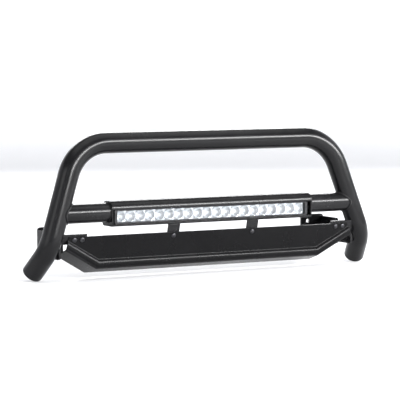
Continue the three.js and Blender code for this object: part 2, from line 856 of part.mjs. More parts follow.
add('skid_plate', skidPlate(), PLATE_COAT);
addPair('skid_plate_tab', plateTab(), POWDER_COAT);
addPair('skid_plate_hanger', hanger(), POWDER_COAT);
for (const [place, bolt] of Object.entries(PLATE_BOLT_PLACES)) {
  addPair(`skid_plate_bolt_${place}`, carriageBolt(bolt), BLACK_ZINC);
  addPair(`skid_plate_nut_${place}`, plateNut(bolt), BRIGHT_ZINC);
}

// ---------------------------------------------------------------------------
// Frame brackets: a gusset welded behind each leg, and a bracket bolted to it
// ---------------------------------------------------------------------------

const WEB_OUTER = GUSSET.inner - GAP;
const WEB_INNER = WEB_OUTER - FRAME_BRACKET.thickness;
const GUSSET_OUTER = GUSSET.inner + GUSSET.thickness;

function gusset() {
  const { inner, front, back, low, high, corner } = GUSSET;
  const blank = prismX(roundedRectangle(front, low, back, high, corner), inner, GUSSET_OUTER);
  const holes = Object.values(FRAME_BOLTS).map(({ y, z }) =>
    rodX(FRAME_BOLT.radius + GAP, inner - 3, GUSSET_OUTER + 3, y, z),
  );
  return largestPiece(cut(blank, HOOP_ROOM, ...holes));
}

function frameBracket() {
  const { webFront, webBack, low, high, cornerRadius, thickness } = FRAME_BRACKET;
  const { footInner, footLow, footHigh, slotHalf } = FRAME_BRACKET;
  const { footHoleX, footHoleRise, footHoleRadius } = FRAME_BRACKET;
  const web = prismX(roundedRectangle(webFront, low, webBack, high, cornerRadius), WEB_INNER, WEB_OUTER);
  const footOutline = roundedRectangle(footInner, footLow, WEB_OUTER, footHigh, cornerRadius);
  const foot = prismY(footOutline, webBack - thickness, webBack);
  const slots = Object.values(FRAME_BOLTS).map(({ y, z }) => {
    const reach = slotHalf + 5;
    const slot = roundedRectangle(y - reach, z - slotHalf, y + reach, z + slotHalf, slotHalf - 0.1);
    return prismX(slot, WEB_INNER - 3, WEB_OUTER + 3);
  });
  const middle = (footLow + footHigh) / 2;
  const footHoles = [-1, 1].map((side) => {
    const z = middle + side * footHoleRise;
    return rodY(footHoleRadius, webBack - thickness - 4, webBack + 4, footHoleX, z, 16);
  });
  return cut(join(web, foot), ...slots, ...footHoles);
}

// Flange bolts from the inner side, with flange nuts outside the gusset.
function frameBolt({ y, z }) {
  const { radius, head, headHeight, flange, flangeThickness, nutHeight } = FRAME_BOLT;
  const headFace = WEB_INNER - GAP;
  return join(
    rodX(head, headFace - headHeight, headFace, y, z, 6),
    rodX(flange, headFace - flangeThickness, headFace, y, z, 16),
    rodX(radius, headFace - 1, GUSSET_OUTER + nutHeight + 5, y, z),
  );
}

function frameNut({ y, z }) {
  const { radius, head, nutHeight, flange, flangeThickness } = FRAME_BOLT;
  const from = GUSSET_OUTER + GAP;
  const hole = rodX(radius + GAP, from - 2, from + nutHeight + 2, y, z);
  const nut = rodX(head, from, from + nutHeight, y, z, 6);
  return cut(join(nut, rodX(flange, from, from + flangeThickness, y, z, 16)), hole);
}

addPair('leg_gusset', gusset(), POWDER_COAT);
addPair('frame_bracket', frameBracket(), POWDER_COAT);
for (const [place, bolt] of Object.entries(FRAME_BOLTS)) {
  addPair(`frame_bolt_${place}`, frameBolt(bolt), BRIGHT_ZINC);
  addPair(`frame_nut_${place}`, frameNut(bolt), BRIGHT_ZINC);
}

// ---------------------------------------------------------------------------
// Origin midway between the bracket feet
// ---------------------------------------------------------------------------

assembly.position.set(0, -FRAME_BRACKET.webBack, -(FRAME_BRACKET.footLow + FRAME_BRACKET.footHigh) / 2);

export default guard;
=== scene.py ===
"""Front grille guard: the looks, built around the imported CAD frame.

Shapes are drawn in millimetres around an axis of the guard, and make_piece puts them in the frame, in metres.
"""

import math

import bmesh
import bpy
from mathutils import Matrix, Vector


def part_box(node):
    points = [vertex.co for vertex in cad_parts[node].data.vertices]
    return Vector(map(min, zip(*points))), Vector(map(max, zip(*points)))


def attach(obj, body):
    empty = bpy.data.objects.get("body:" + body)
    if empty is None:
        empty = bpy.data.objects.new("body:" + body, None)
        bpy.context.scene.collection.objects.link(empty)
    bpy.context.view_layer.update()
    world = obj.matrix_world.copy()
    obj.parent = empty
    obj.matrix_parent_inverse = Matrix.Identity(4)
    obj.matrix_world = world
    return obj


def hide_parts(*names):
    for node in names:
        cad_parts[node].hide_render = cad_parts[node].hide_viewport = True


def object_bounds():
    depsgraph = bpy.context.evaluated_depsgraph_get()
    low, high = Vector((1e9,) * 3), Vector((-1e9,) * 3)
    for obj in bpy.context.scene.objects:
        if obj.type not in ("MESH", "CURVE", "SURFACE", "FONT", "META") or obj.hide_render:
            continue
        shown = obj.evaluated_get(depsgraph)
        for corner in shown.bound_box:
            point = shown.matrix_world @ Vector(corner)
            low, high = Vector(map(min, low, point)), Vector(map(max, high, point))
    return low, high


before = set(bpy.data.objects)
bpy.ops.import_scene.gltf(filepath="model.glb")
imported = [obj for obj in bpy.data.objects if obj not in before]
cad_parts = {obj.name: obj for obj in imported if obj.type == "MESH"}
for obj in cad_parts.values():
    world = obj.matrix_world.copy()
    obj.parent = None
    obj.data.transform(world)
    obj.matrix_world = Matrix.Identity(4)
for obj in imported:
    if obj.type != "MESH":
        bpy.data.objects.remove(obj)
cad_low, cad_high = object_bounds()

# ---------------------------------------------------------------------------
# Driving dimensions, in millimetres
# ---------------------------------------------------------------------------

MM = 0.001
GUARD = "guard_frame"
LIGHT = "light_bar"
SIDES = {"right": 1, "left": -1}

HOOP_RADIUS = 34.45
CROSS_RADIUS = 31.7
HOOP = {
    "top_rise": 224,  # top tube axis above the cross axis
    "top_half": 375,
    "top_bend": 146,
    "splay": math.radians(18.7),
    "lean": math.radians(5.3),
    "leg": 205,
    "foot_bend": 105,
    "foot_turn": math.radians(45),
    "foot": 69,
}
BEND_STEP = math.radians(2)
TUBE_SIDES = 72
FOOT_CAP = {"thickness": 3.2, "edge": 1.6, "inset": 0.5}

POCKET = {
    "half": 376,
    "wall": 3,
    "front": -36,
    "rear": 36,
    "top": 38,
    "bottom": -45,
    "top_radius": 27,
    "lip_radius": 6,
    "heel_radius": 12,
}
VENT = {"count": 6, "pitch": 108, "width": 80, "height": 34, "level": -8}
SPANNER_SLOT = {"x": 366, "half": 7, "front": -22, "back": 8}
END_PLATE = 4
SEAM = 0.3
POCKET_END = POCKET["half"] + SEAM + END_PLATE

PLATE = {
    "thickness": 3,
    "lean": math.radians(15),
    "base_y": -5,
    "base_z": -159,
    "height": 90,
    "face_end": 12,
    "top_half": 532,
    "side_half": 538,
    "side_rise": 70,
    "low_half": 418,
    "jog_radius": 5,
    "jog_turn": math.radians(60),
    "nose_radius": 18,
    "lip_turn": math.radians(60),
    "lip": 67,
    "lip_end": 541,
    "corner": 6,
}
PLATE_BOLTS = {"outer": (511, 80, 5), "inner": (483, 80, 5), "hanger": (150, 78, 4)}  # x, rise, what is held
TAB = {"thickness": 5, "low": 64, "high": 98, "reach": 568}
HANGER = {"x": 150, "half": 22, "thickness": 4}
GUSSET = {"inner": 553, "thickness": 8, "low": -146, "high": -70}
FRAME_WEB = 8
FRAME_BOLTS = {"upper": (88, -91), "lower": (88, -125)}  # y, z

# Fasteners: radii of the shank, flange and hexagon corners, height of the head and nut, and the thread.
M12 = {
    "shank": 6,
    "flange": 13,
    "seat": 2.5,
    "corner": 10.4,
    "head": 7.5,
    "nut": 10,
    "pitch": 1.75,
    "tail": 14.5,
}
M8 = {"shank": 4, "flange": 9, "seat": 1.6, "corner": 7.2, "dome": 8, "nut": 7.5, "pitch": 1.25, "tail": 10.4}
M6 = {"shank": 2.9, "flange": 5.4, "seat": 0.9, "corner": 5.3, "head": 3.5, "pitch": 1, "tip": 8}
NUT_BORE = {"M12": 6.1, "M8": 4.2}
PIVOT = {"washer": 8, "washer_height": 1, "bore": 4.3, "shank": 4, "reach": 9, "corner": 6.5, "head": 3}
END_SCREW = {"shank": 1.7, "depth": 3, "head": 2.9, "height": 1.3, "socket": 1.5, "socket_floor": 0.3}

# Weld beads: their radii, and how far a bead sits off the edge that it follows.
WELD = {"leg": 3.4, "pocket": 2.6, "gusset": 2.8, "tab": 2.2, "hanger": 2.2}
OFF_EDGE = 0.4

END_CAP_FACE = 367
OPTIC_HALF = 359
OPTIC_RISE = 19.6
LED_COUNT = 20
LED_PITCH = 2 * OPTIC_HALF / LED_COUNT
CUP = {"mouth": 17.2, "throat": 4.5, "front": -12.8, "back": -2.2, "rim": 0.5, "steps": 12}
LENS = {"front": -17.9, "back": -14.9, "edge": 0.8, "corner": 2}
END_SCREWS = ((-17, -17), (-17, 17), (16, -17.5), (16, 17.5))
BRACKET_SCREW_X = 354
BRACKET_SCREW_RISE = 11
GLAND_X = 270
WEB_BACK = 6
PIVOT_SEAT = 370.3  # outer face of the light bracket, with its gap

BEAD = {"step": 0.65, "ripple": 2.6, "sides": 10, "depth": 0.16}

low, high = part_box("cross_tube_right")
CROSS_AXIS = Vector((0, (low.y + high.y) / 2, (low.z + high.z) / 2))
low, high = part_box("light_pivot_bolt_right")
PIVOT_AXIS = Vector((0, (low.y + high.y) / 2, (low.z + high.z) / 2))
PIVOT_OFFSET = (PIVOT_AXIS - CROSS_AXIS) / MM


# ---------------------------------------------------------------------------
# Materials
# ---------------------------------------------------------------------------


class Finish:
    """A Principled material, and the few kinds of node that its details are made of."""

    def __init__(self, name, **sockets):
        self.material = bpy.data.materials.new(name)
        self.material.use_nodes = True
        self.tree = self.material.node_tree
        self.shader = self.tree.nodes["Principled BSDF"]
        for socket, value in sockets.items():
            self.shader.inputs[socket.replace("_", " ").title().replace("Ior", "IOR")].default_value = value
        self.place = self.tree.nodes.new("ShaderNodeTexCoord").outputs["Object"]

    def link(self, source, target):
        self.tree.links.new(source, target)

    def noise(self, scale, detail=3, roughness=0.55, stretch=(1, 1, 1)):
        """Noise on the object's own coordinates, in metres; stretch squeezes it along an axis."""
        mapping = self.tree.nodes.new("ShaderNodeMapping")
        mapping.inputs["Scale"].default_value = stretch
        node = self.tree.nodes.new("ShaderNodeTexNoise")
        node.inputs["Scale"].default_value = scale
        node.inputs["Detail"].default_value = detail
        node.inputs["Roughness"].default_value = roughness
        self.link(self.place, mapping.inputs["Vector"])
        self.link(mapping.outputs["Vector"], node.inputs["Vector"])
        return node.outputs["Fac"]

    def span(self, value, from_low, from_high, to_low, to_high):
        node = self.tree.nodes.new("ShaderNodeMapRange")
        node.inputs["From Min"].default_value = from_low
        node.inputs["From Max"].default_value = from_high
        node.inputs["To Min"].default_value = to_low
        node.inputs["To Max"].default_value = to_high
        self.link(value, node.inputs["Value"])
        return node.outputs["Result"]

    def math(self, operation, first, second=0):
        node = self.tree.nodes.new("ShaderNodeMath")
        node.operation = operation
        for socket, value in zip(node.inputs, (first, second)):
            if isinstance(value, (int, float)):
                socket.default_value = value
            else:
                self.link(value, socket)
        return node.outputs["Value"]

    def mix(self, factor, first, second):
        """Colour that goes from first to second."""
        node = self.tree.nodes.new("ShaderNodeMix")
        node.data_type = "RGBA"
        self.link(factor, node.inputs["Factor"])
        for socket, colour in ((node.inputs["A"], first), (node.inputs["B"], second)):
            if isinstance(colour, tuple):
                socket.default_value = (*colour, 1)
            else:
                self.link(colour, socket)
        return node.outputs["Result"]

    def parts(self, vector):
        """The X, Y and Z of a vector."""
        node = self.tree.nodes.new("ShaderNodeSeparateXYZ")
        self.link(vector, node.inputs["Vector"])
        return node.outputs

    def length(self, first, second):
        """Length of a vector in a plane, from its two parts."""
        squares = [self.math("POWER", part, 2) for part in (first, second)]
        return self.math("SQRT", self.math("ADD", *squares))

    def upward(self):
        """1 on faces that look up, 0 on the others."""
        geometry = self.tree.nodes.new("ShaderNodeNewGeometry")
        return self.span(self.parts(geometry.outputs["Normal"])["Z"], 0.2, 1, 0, 1)

    def edges(self, start, end):
        """1 on convex edges, 0 on flat faces."""
        geometry = self.tree.nodes.new("ShaderNodeNewGeometry")
        return self.span(geometry.outputs["Pointiness"], start, end, 0, 1)

    def bump(self, height, distance, strength=1.0, under=None):
        node = self.tree.nodes.new("ShaderNodeBump")
        node.inputs["Distance"].default_value = distance
        node.inputs["Strength"].default_value = strength
        self.link(height, node.inputs["Height"])
        if under is not None:
            self.link(under, node.inputs["Normal"])
        return node.outputs["Normal"]

    def set(self, socket, value):
        self.link(value, self.shader.inputs[socket])


def powder_coat(name, dark, pale, smooth, rough, grain, depth, specular):
    """Baked powder: orange peel, slight clouds in tone and gloss, thin dust on top, worn edges."""
    finish = Finish(name, ior=1.5, specular_ior_level=specular)
    clouds = finish.noise(7, 4)
    peel = finish.noise(grain, 2)
    fine = finish.noise(grain * 4.5, 2)
    colour = finish.mix(clouds, dark, pale)
    worn = finish.math("MULTIPLY", finish.edges(0.53, 0.66), finish.noise(90, 4))
    colour = finish.mix(finish.math("MULTIPLY", worn, 0.35), colour, (0.09, 0.09, 0.095))
    settled = finish.math("MULTIPLY", finish.upward(), finish.span(finish.noise(38, 6), 0.42, 0.8, 0, 0.03))
    colour = finish.mix(settled, colour, (0.24, 0.23, 0.21))
    finish.set("Base Color", colour)
    gloss = finish.span(clouds, 0.3, 0.7, smooth, rough)
    finish.set("Roughness", finish.math("ADD", gloss, finish.math("MULTIPLY", settled, 1.6)))
    finish.set("Normal", finish.bump(fine, 0.00004, under=finish.bump(peel, depth)))
    return finish.material


def worked_metal(name, dark, pale, smooth, rough, stretch, metallic=1.0):
    """Extruded, drawn or plated metal: fine streaks, stains and brighter edges."""
    finish = Finish(name, metallic=metallic)
    streaks = finish.noise(320, 3, stretch=stretch)
    stains = finish.noise(55, 5)
    colour = finish.mix(finish.span(stains, 0.35, 0.7, 0, 1), dark, pale)
    colour = finish.mix(finish.math("MULTIPLY", finish.edges(0.53, 0.64), 0.5), colour, pale)
    finish.set("Base Color", colour)
    spread = finish.math("MULTIPLY", finish.math("ADD", streaks, stains), 0.5)
    finish.set("Roughness", finish.span(spread, 0.3, 0.7, smooth, rough))
    finish.set("Normal", finish.bump(streaks, 0.00003))
    return finish.material


def rubber(name):
    finish = Finish(name, specular_ior_level=0.35)
    grains = finish.noise(900, 3)
    bloom = finish.noise(45, 5)
    finish.set("Base Color", finish.mix(bloom, (0.010, 0.010, 0.010), (0.030, 0.030, 0.029)))
    finish.set("Roughness", finish.span(bloom, 0.3, 0.7, 0.62, 0.85))
    finish.set("Normal", finish.bump(grains, 0.00005))
    return finish.material


def from_led(finish):
    """How far a point is from the middle of its own reflector cup, in metres."""
    parts = finish.parts(finish.place)
    cell = finish.math("PINGPONG", parts["X"], LED_PITCH * MM / 2)
    along = finish.math("SUBTRACT", LED_PITCH * MM / 2, cell)
    return finish.length(along, finish.math("SUBTRACT", parts["Z"], PIVOT_AXIS.z))


def mirror_cups_painted_glow(name):
    """Aluminised plastic, faintly stippled, with a painted glow in place of its diode's light, brightest at
    the middle of each cup.
    """
    finish = Finish(name, metallic=1.0, emission_color=(0.90, 0.95, 1.0, 1))
    stipple = finish.noise(240, 2)
    haze = finish.noise(60, 4)
    finish.set("Base Color", finish.mix(haze, (0.50, 0.52, 0.54), (0.60, 0.61, 0.63)))
    finish.set("Roughness", finish.span(haze, 0.3, 0.7, 0.10, 0.22))
    finish.set("Normal", finish.bump(stipple, 0.0001))
    # Painted light: the cup surface itself emits, standing in for the diode's light that it would reflect.
    glow = finish.span(from_led(finish), CUP["throat"] * MM, CUP["mouth"] * MM, 0.50, 0.22)
    finish.set("Emission Strength", glow)
    return finish.material


def lit_phosphor(name):
    """The diode's phosphor: pale yellow, brightest in the middle."""
    finish = Finish(name, roughness=0.4, emission_color=(0.93, 0.97, 1.0, 1))
    finish.set("Base Color", finish.mix(finish.noise(1500, 2), (0.85, 0.78, 0.42), (0.95, 0.88, 0.55)))
    finish.set("Emission Strength", finish.span(from_led(finish), 0, CUP["throat"] * MM, 1.6, 1.0))
    return finish.material


def clear_sheet(name):
    """Thin clear polycarbonate: it lets the light through and reflects more at a low angle."""
    finish = Finish(name)
    nodes = finish.tree.nodes
    nodes.remove(finish.shader)
    clear = nodes.new("ShaderNodeBsdfTransparent")
    gloss = nodes.new("ShaderNodeBsdfGlossy")
    mixed = nodes.new("ShaderNodeMixShader")
    fresnel = nodes.new("ShaderNodeFresnel")
    fresnel.inputs["IOR"].default_value = 1.58
    clear.inputs["Color"].default_value = (0.96, 0.97, 0.98, 1)
    finish.link(finish.span(finish.noise(30, 5), 0.3, 0.7, 0.03, 0.09), gloss.inputs["Roughness"])
    finish.link(fresnel.outputs["Fac"], mixed.inputs["Fac"])
    finish.link(clear.outputs["BSDF"], mixed.inputs[1])
    finish.link(gloss.outputs["BSDF"], mixed.inputs[2])
    finish.link(mixed.outputs["Shader"], nodes["Material Output"].inputs["Surface"])
    return finish.material


def solder_mask(name):
    finish = Finish(name)
    finish.set("Base Color", finish.mix(finish.noise(200, 3), (0.78, 0.79, 0.78), (0.88, 0.89, 0.88)))
    finish.set("Roughness", finish.span(finish.noise(90, 2), 0.3, 0.7, 0.35, 0.5))
    finish.set("Normal", finish.bump(finish.noise(700, 2), 0.00003))
    return finish.material


POWDER = powder_coat(
    "powder_coat", (0.003, 0.003, 0.0034), (0.005, 0.005, 0.0056), 0.20, 0.27, 330, 0.00004, specular=0.22
)
PLATE_POWDER = powder_coat(
    "plate_coat", (0.0022, 0.0022, 0.0025), (0.004, 0.004, 0.0045), 0.24, 0.33, 520, 0.00006, specular=0.12
)
LIGHT_BLACK = worked_metal(
    "light_black", (0.014, 0.014, 0.015), (0.040, 0.040, 0.043), 0.32, 0.48, (0.03, 1, 1), 0.6
)
BLACK_ZINC = worked_metal("black_zinc", (0.030, 0.030, 0.033), (0.085, 0.085, 0.090), 0.28, 0.46, (1, 1, 1))
BRIGHT_ZINC = worked_metal("bright_zinc", (0.42, 0.43, 0.45), (0.66, 0.68, 0.70), 0.24, 0.42, (1, 1, 1))
MIRROR = mirror_cups_painted_glow("reflector")
PHOSPHOR = lit_phosphor("phosphor")
CLEAR = clear_sheet("clear_lens")
SEAL = rubber("seal")
BOARD = solder_mask("board")


# ---------------------------------------------------------------------------
# Mesh helpers
# ---------------------------------------------------------------------------


def add_grid(mesh, rows, wrap_rows=False, wrap_columns=False):
    """Faces between rows of points that all have the same length. Returns the rows of vertices."""
    grid = [[mesh.verts.new(point) for point in row] for row in rows]
    row_count = len(grid) if wrap_rows else len(grid) - 1
    columns = len(grid[0]) if wrap_columns else len(grid[0]) - 1
    for i in range(row_count):
        here, following = grid[i], grid[(i + 1) % len(grid)]
        for j in range(columns):
            k = (j + 1) % len(here)
            mesh.faces.new((here[j], here[k], following[k], following[j]))
    return grid


def add_capped(mesh, rows):
    """Closed rings joined into one body, with a face over each end."""
    grid = add_grid(mesh, rows, wrap_columns=True)
    mesh.faces.new(grid[0])
    mesh.faces.new(grid[-1])


def on_circle(place, radius, angle, height):
    """A point given round the +Z axis of place."""
    return place @ Vector((radius * math.cos(angle), radius * math.sin(angle), height))


def add_lathe(mesh, profile, place, sides=48):
    """A profile of (radius, height) turned about +Z of place. A radius of 0 at an end closes it."""
    rings = []
    for radius, height in profile:
        angles = turns(sides) if radius else [0]
        rings.append([mesh.verts.new(on_circle(place, radius, a, height)) for a in angles])
    for first, second in zip(rings, rings[1:]):
        join_rings(mesh, first, second)


def join_rings(mesh, first, second):
    """Faces between two rings, either of which may be a single point."""
    count = max(len(first), len(second))
    for j in range(count):
        k = (j + 1) % count
        if len(first) == 1:
            mesh.faces.new((first[0], second[k], second[j]))
        elif len(second) == 1:
            mesh.faces.new((first[j], first[k], second[0]))
        else:
            mesh.faces.new((first[j], first[k], second[k], second[j]))


def turns(count):
    """Even angles round a full turn."""
    return [2 * math.pi * i / count for i in range(count)]


def arc(centre, radius, start, end, steps=8):
    """Points of an arc in a plane, angles in degrees, both ends included."""
    angles = [math.radians(start + (end - start) * i / steps) for i in range(steps + 1)]
    return [(centre[0] + radius * math.cos(a), centre[1] + radius * math.sin(a)) for a in angles]


def axis_frames(path, normal):
    """For each (point, tangent) of a path: the point and two directions across it, without twist."""
    for point, tangent in path:
        normal = (normal - tangent * normal.dot(tangent)).normalized()
        yield point, normal, tangent.cross(normal)


def facing(origin, direction):
    """The place whose +Z points along direction, at origin."""
    return Matrix.Translation(origin) @ Vector(direction).to_track_quat("Z", "Y").to_matrix().to_4x4()


def bevelled(piece, width, angle=32, segments=2):
    """Rounds the piece's sharp edges by width, in millimetres."""
    bevel = piece.modifiers.new("edges", "BEVEL")
    bevel.width = width * MM
    bevel.segments = segments
    bevel.limit_method = "ANGLE"
    bevel.angle_limit = math.radians(angle)
    bevel.harden_normals = True
    bevel.miter_outer = "MITER_ARC"
    return piece


def show(name, data, finish, body, stands_for):
    piece = bpy.data.objects.new(name, data)
    bpy.context.scene.collection.objects.link(piece)
    data.materials.clear()
    data.materials.append(finish)
    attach(piece, body)
    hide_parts(*stands_for)
    return piece


def make_piece(name, mesh, finish, body=GUARD, axis=CROSS_AXIS, stands_for=(), sharp=35):
    """Turns a bmesh in millimetres around an axis into a piece of the guard."""
    bmesh.ops.remove_doubles(mesh, verts=mesh.verts, dist=1e-4)
    bmesh.ops.recalc_face_normals(mesh, faces=mesh.faces)
    mesh.transform(Matrix.Translation(axis) @ Matrix.Scale(MM, 4))
    data = bpy.data.meshes.new(name)
    mesh.to_mesh(data)
    mesh.free()
    data.shade_smooth()
    data.set_sharp_from_angle(angle=math.radians(sharp))
    return show(name, data, finish, body, stands_for)


def refine(node, finish, body=GUARD, edge=0.5, angle=32):
    """A CAD node whose shape is right, with clean faces and rounded edges."""
    mesh = bmesh.new()
    mesh.from_mesh(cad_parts[node].data)
    bmesh.ops.remove_doubles(mesh, verts=mesh.verts, dist=2e-6)
    bmesh.ops.dissolve_limit(mesh, angle_limit=math.radians(0.5), verts=mesh.verts, edges=mesh.edges)
    bmesh.ops.recalc_face_normals(mesh, faces=mesh.faces)
    data = bpy.data.meshes.new("shaped_" + node)
    mesh.to_mesh(data)
    mesh.free()
    data.shade_smooth()
    data.set_sharp_from_angle(angle=math.radians(35))
    return bevelled(show("shaped_" + node, data, finish, body, (node,)), edge, angle)


def cut(piece, cutter):
    """Cuts a bmesh in millimetres around the cross axis out of the piece."""
    bmesh.ops.recalc_face_normals(cutter, faces=cutter.faces)
    cutter.transform(Matrix.Translation(CROSS_AXIS) @ Matrix.Scale(MM, 4))
    data = bpy.data.meshes.new("cutter")
    cutter.to_mesh(data)
    cutter.free()
    tool = bpy.data.objects.new("cutter", data)
    bpy.context.scene.collection.objects.link(tool)
    boolean = piece.modifiers.new("cut", "BOOLEAN")
    boolean.operation = "DIFFERENCE"
    boolean.solver = "EXACT"
    boolean.object = tool
    bpy.context.view_layer.update()
    graph = bpy.context.evaluated_depsgraph_get()
    piece.data = bpy.data.meshes.new_from_object(piece.evaluated_get(graph))
    piece.modifiers.clear()
    bpy.data.objects.remove(tool)


# ---------------------------------------------------------------------------
# Hoop and cross tubes
# ---------------------------------------------------------------------------


def hoop_vector(across, down, back):
    lean = HOOP["lean"]
    y = back * math.cos(lean) - down * math.sin(lean)
    return Vector((across, y, -down * math.cos(lean) - back * math.sin(lean)))


def hoop_point(across, down, back):
    top = Vector((0, HOOP["top_rise"] * math.tan(HOOP["lean"]), HOOP["top_rise"]))
    return hoop_vector(across, down, back) + top


def right_half_path():
    """(point, tangent) from the end of the straight top to the end of the right foot."""
    top_bend, foot_bend, splay = HOOP["top_bend"], HOOP["foot_bend"], HOOP["splay"]
    corner_turn = math.pi / 2 - splay
    path = []
    steps = round(corner_turn / BEND_STEP)
    for i in range(steps + 1):
        turn = corner_turn * i / steps
        point = hoop_point(HOOP["top_half"] + top_bend * math.sin(turn), top_bend * (1 - math.cos(turn)), 0)
        path.append((point, hoop_vector(math.cos(turn), math.sin(turn), 0)))
    corner_end = path[-1][0]
    steps = round(HOOP["foot_turn"] / BEND_STEP)
    for i in range(steps + 1):
        turn = HOOP["foot_turn"] * i / steps
        length = HOOP["leg"] + foot_bend * math.sin(turn)
        back = foot_bend * (1 - math.cos(turn))
        point = corner_end + hoop_vector(math.sin(splay) * length, math.cos(splay) * length, back)
        level = math.cos(turn)
        tangent = hoop_vector(math.sin(splay) * level, math.cos(splay) * level, math.sin(turn))
        path.append((point, tangent))
    last, tangent = path[-1]
    path.append((last + tangent * HOOP["foot"], tangent))
    return path


RIGHT_HALF = right_half_path()
LEG_DIRECTION = hoop_vector(math.sin(HOOP["splay"]), math.cos(HOOP["splay"]), 0)


def mirror_x(vector):
    return Vector((-vector.x, vector.y, vector.z))


def hoop_path():
    left = [(mirror_x(point), -mirror_x(tangent)) for point, tangent in reversed(RIGHT_HALF)]
    return left + RIGHT_HALF


def from_hoop(point):
    """Distance from a point on the right-hand side to the axis of the hoop."""
    best = math.inf
    for (start, _), (end, _) in zip(RIGHT_HALF, RIGHT_HALF[1:]):
        run = end - start
        share = max(0.0, min(1.0, (point - start).dot(run) / run.length_squared))
        best = min(best, (point - start - run * share).length)
    return best


def reach_hoop(outside, inside, radius=HOOP_RADIUS):
    """The point between outside and inside that is on the hoop's surface."""
    for _ in range(24):
        middle = (outside + inside) / 2
        if from_hoop(middle) > radius:
            outside = middle
        else:
            inside = middle
    return outside


def circle_rows(path, radii, sides=TUBE_SIDES, normal=Vector((0, 0, 1))):
    rows = []
    for (point, across, along), radius in zip(axis_frames(path, normal), radii):
        rows.append([point + (across * math.cos(a) + along * math.sin(a)) * radius for a in turns(sides)])
    return rows


def build_hoop():
    """One bent tube, its two feet closed by pressed caps with a rounded edge."""
    path = hoop_path()
    edge = FOOT_CAP["edge"]
    angles = [math.radians(angle) for angle in range(0, 91, 15)]
    rolled = [(edge * (1 - math.cos(angle)), edge * math.sin(angle)) for angle in angles]
    last, tangent = path[-1]
    out = FOOT_CAP["thickness"]
    cap_radius = HOOP_RADIUS - FOOT_CAP["inset"]
    cap = [(last + tangent * (out - edge + depth), cap_radius - inset) for inset, depth in rolled]
    rings = [(last, HOOP_RADIUS), (last, cap_radius), *cap]
    ending = [((point, tangent), radius) for point, radius in rings]
    mirrored = [((mirror_x(point), -mirror_x(t)), radius) for (point, t), radius in reversed(ending)]
    whole = mirrored + [(station, HOOP_RADIUS) for station in path[1:-1]] + ending
    mesh = bmesh.new()
    add_capped(mesh, circle_rows([station for station, _ in whole], [radius for _, radius in whole]))
    make_piece(
        "bent_hoop",
        mesh,
        POWDER,
        stands_for=("hoop_tube", "hoop_end_cap_left", "hoop_end_cap_right"),
    )


def leg_at_cross():
    """Where the axis of the right leg passes the level of the cross member."""
    start = RIGHT_HALF[round((math.pi / 2 - HOOP["splay"]) / BEND_STEP)][0]
    return start + LEG_DIRECTION * (start.z / -LEG_DIRECTION.z)


def cope(y, z):
    """Where a line along X at (y, z) first meets the right leg."""
    return reach_hoop(Vector((POCKET_END, y, z)), Vector((leg_at_cross().x, y, z)))


def build_cross_tubes():
    for side, sign in SIDES.items():
        mesh = bmesh.new()
        ring = [(CROSS_RADIUS * math.cos(a), CROSS_RADIUS * math.sin(a)) for a in turns(TUBE_SIDES)]
        start = POCKET_END + SEAM
        rows = [
            [(start, y * 0.92, z * 0.92) for y, z in ring],
            [(start, y, z) for y, z in ring],
            [cope(y, z) for y, z in ring],
            [cope(y, z) + Vector((0.5, 0, 0)) for y, z in ring],
        ]
        add_grid(mesh, rows, wrap_columns=True)
        mesh.transform(Matrix.Diagonal((sign, 1, 1, 1)))
        node = "cross_tube_" + side
        make_piece("coped_" + node, mesh, POWDER, stands_for=(node,))


# ---------------------------------------------------------------------------
# Weld beads
# ---------------------------------------------------------------------------


def evenly(points, closed):
    """The same line with a point at each step of BEAD."""
    if closed:
        points = [*points, points[0]]
    lengths = [0.0]
    for first, second in zip(points, points[1:]):
        lengths.append(lengths[-1] + (second - first).length)
    count = max(4, round(lengths[-1] / BEAD["step"]))
    result, segment = [], 0
    for i in range(count + (0 if closed else 1)):
        target = lengths[-1] * i / count
        while segment < len(points) - 2 and lengths[segment + 1] < target:
            segment += 1
        share = (target - lengths[segment]) / max(1e-9, lengths[segment + 1] - lengths[segment])
        result.append(points[segment].lerp(points[segment + 1], share))
    return result, lengths[-1]


def add_bead(mesh, points, radius, closed=False):
    """A weld bead: overlapping ripples along a line, tapering at the ends of an open one."""
    line, length = evenly(points, closed)
    ripples = round(length / BEAD["ripple"])
    count = len(line)
    path, radii = [], []
    for i, point in enumerate(line):
        before = line[i - 1] if closed or i else point
        after = line[(i + 1) % count] if closed or i < count - 1 else point
        path.append((point, (after - before).normalized()))
        phase = abs(math.cos(math.pi * ripples * i / count))
        taper = 1.0 if closed else min(1.0, 0.35 + 0.13 * min(i, count - 1 - i))
        radii.append(radius * taper * (1 - BEAD["depth"] + BEAD["depth"] * phase))
    normal = path[0][1].orthogonal()
    rows = circle_rows(path, radii, BEAD["sides"], normal)
    if closed:
        add_grid(mesh, rows, wrap_rows=True, wrap_columns=True)
    else:
        add_capped(mesh, rows)


def in_plate(x, depth, rise):
    """A point given on the face of the skid plate."""
    lean = PLATE["lean"]
    y = depth * math.cos(lean) - rise * math.sin(lean)
    z = depth * math.sin(lean) + rise * math.cos(lean)
    return Vector((x, PLATE["base_y"] + y, PLATE["base_z"] + z))


def build_welds():
    """Beads of the right half, mirrored for the left."""
    for side, sign in SIDES.items():
        mesh = bmesh.new()
        ring = [(math.cos(a), math.sin(a)) for a in turns(120)]
        saddle = [
            cope(CROSS_RADIUS * y, CROSS_RADIUS * z) + Vector((-0.8, 0.8 * y, 0.8 * z)) for y, z in ring
        ]
        add_bead(mesh, saddle, WELD["leg"], closed=True)
        reach = CROSS_RADIUS + 0.6
        socket = [Vector((POCKET_END + 1, reach * y, reach * z)) for y, z in ring]
        add_bead(mesh, socket, WELD["pocket"], closed=True)
        add_gusset_beads(mesh)
        add_tab_beads(mesh)
        add_hanger_beads(mesh)
        mesh.transform(Matrix.Diagonal((sign, 1, 1, 1)))
        make_piece("weld_beads_" + side, mesh, POWDER, sharp=60)


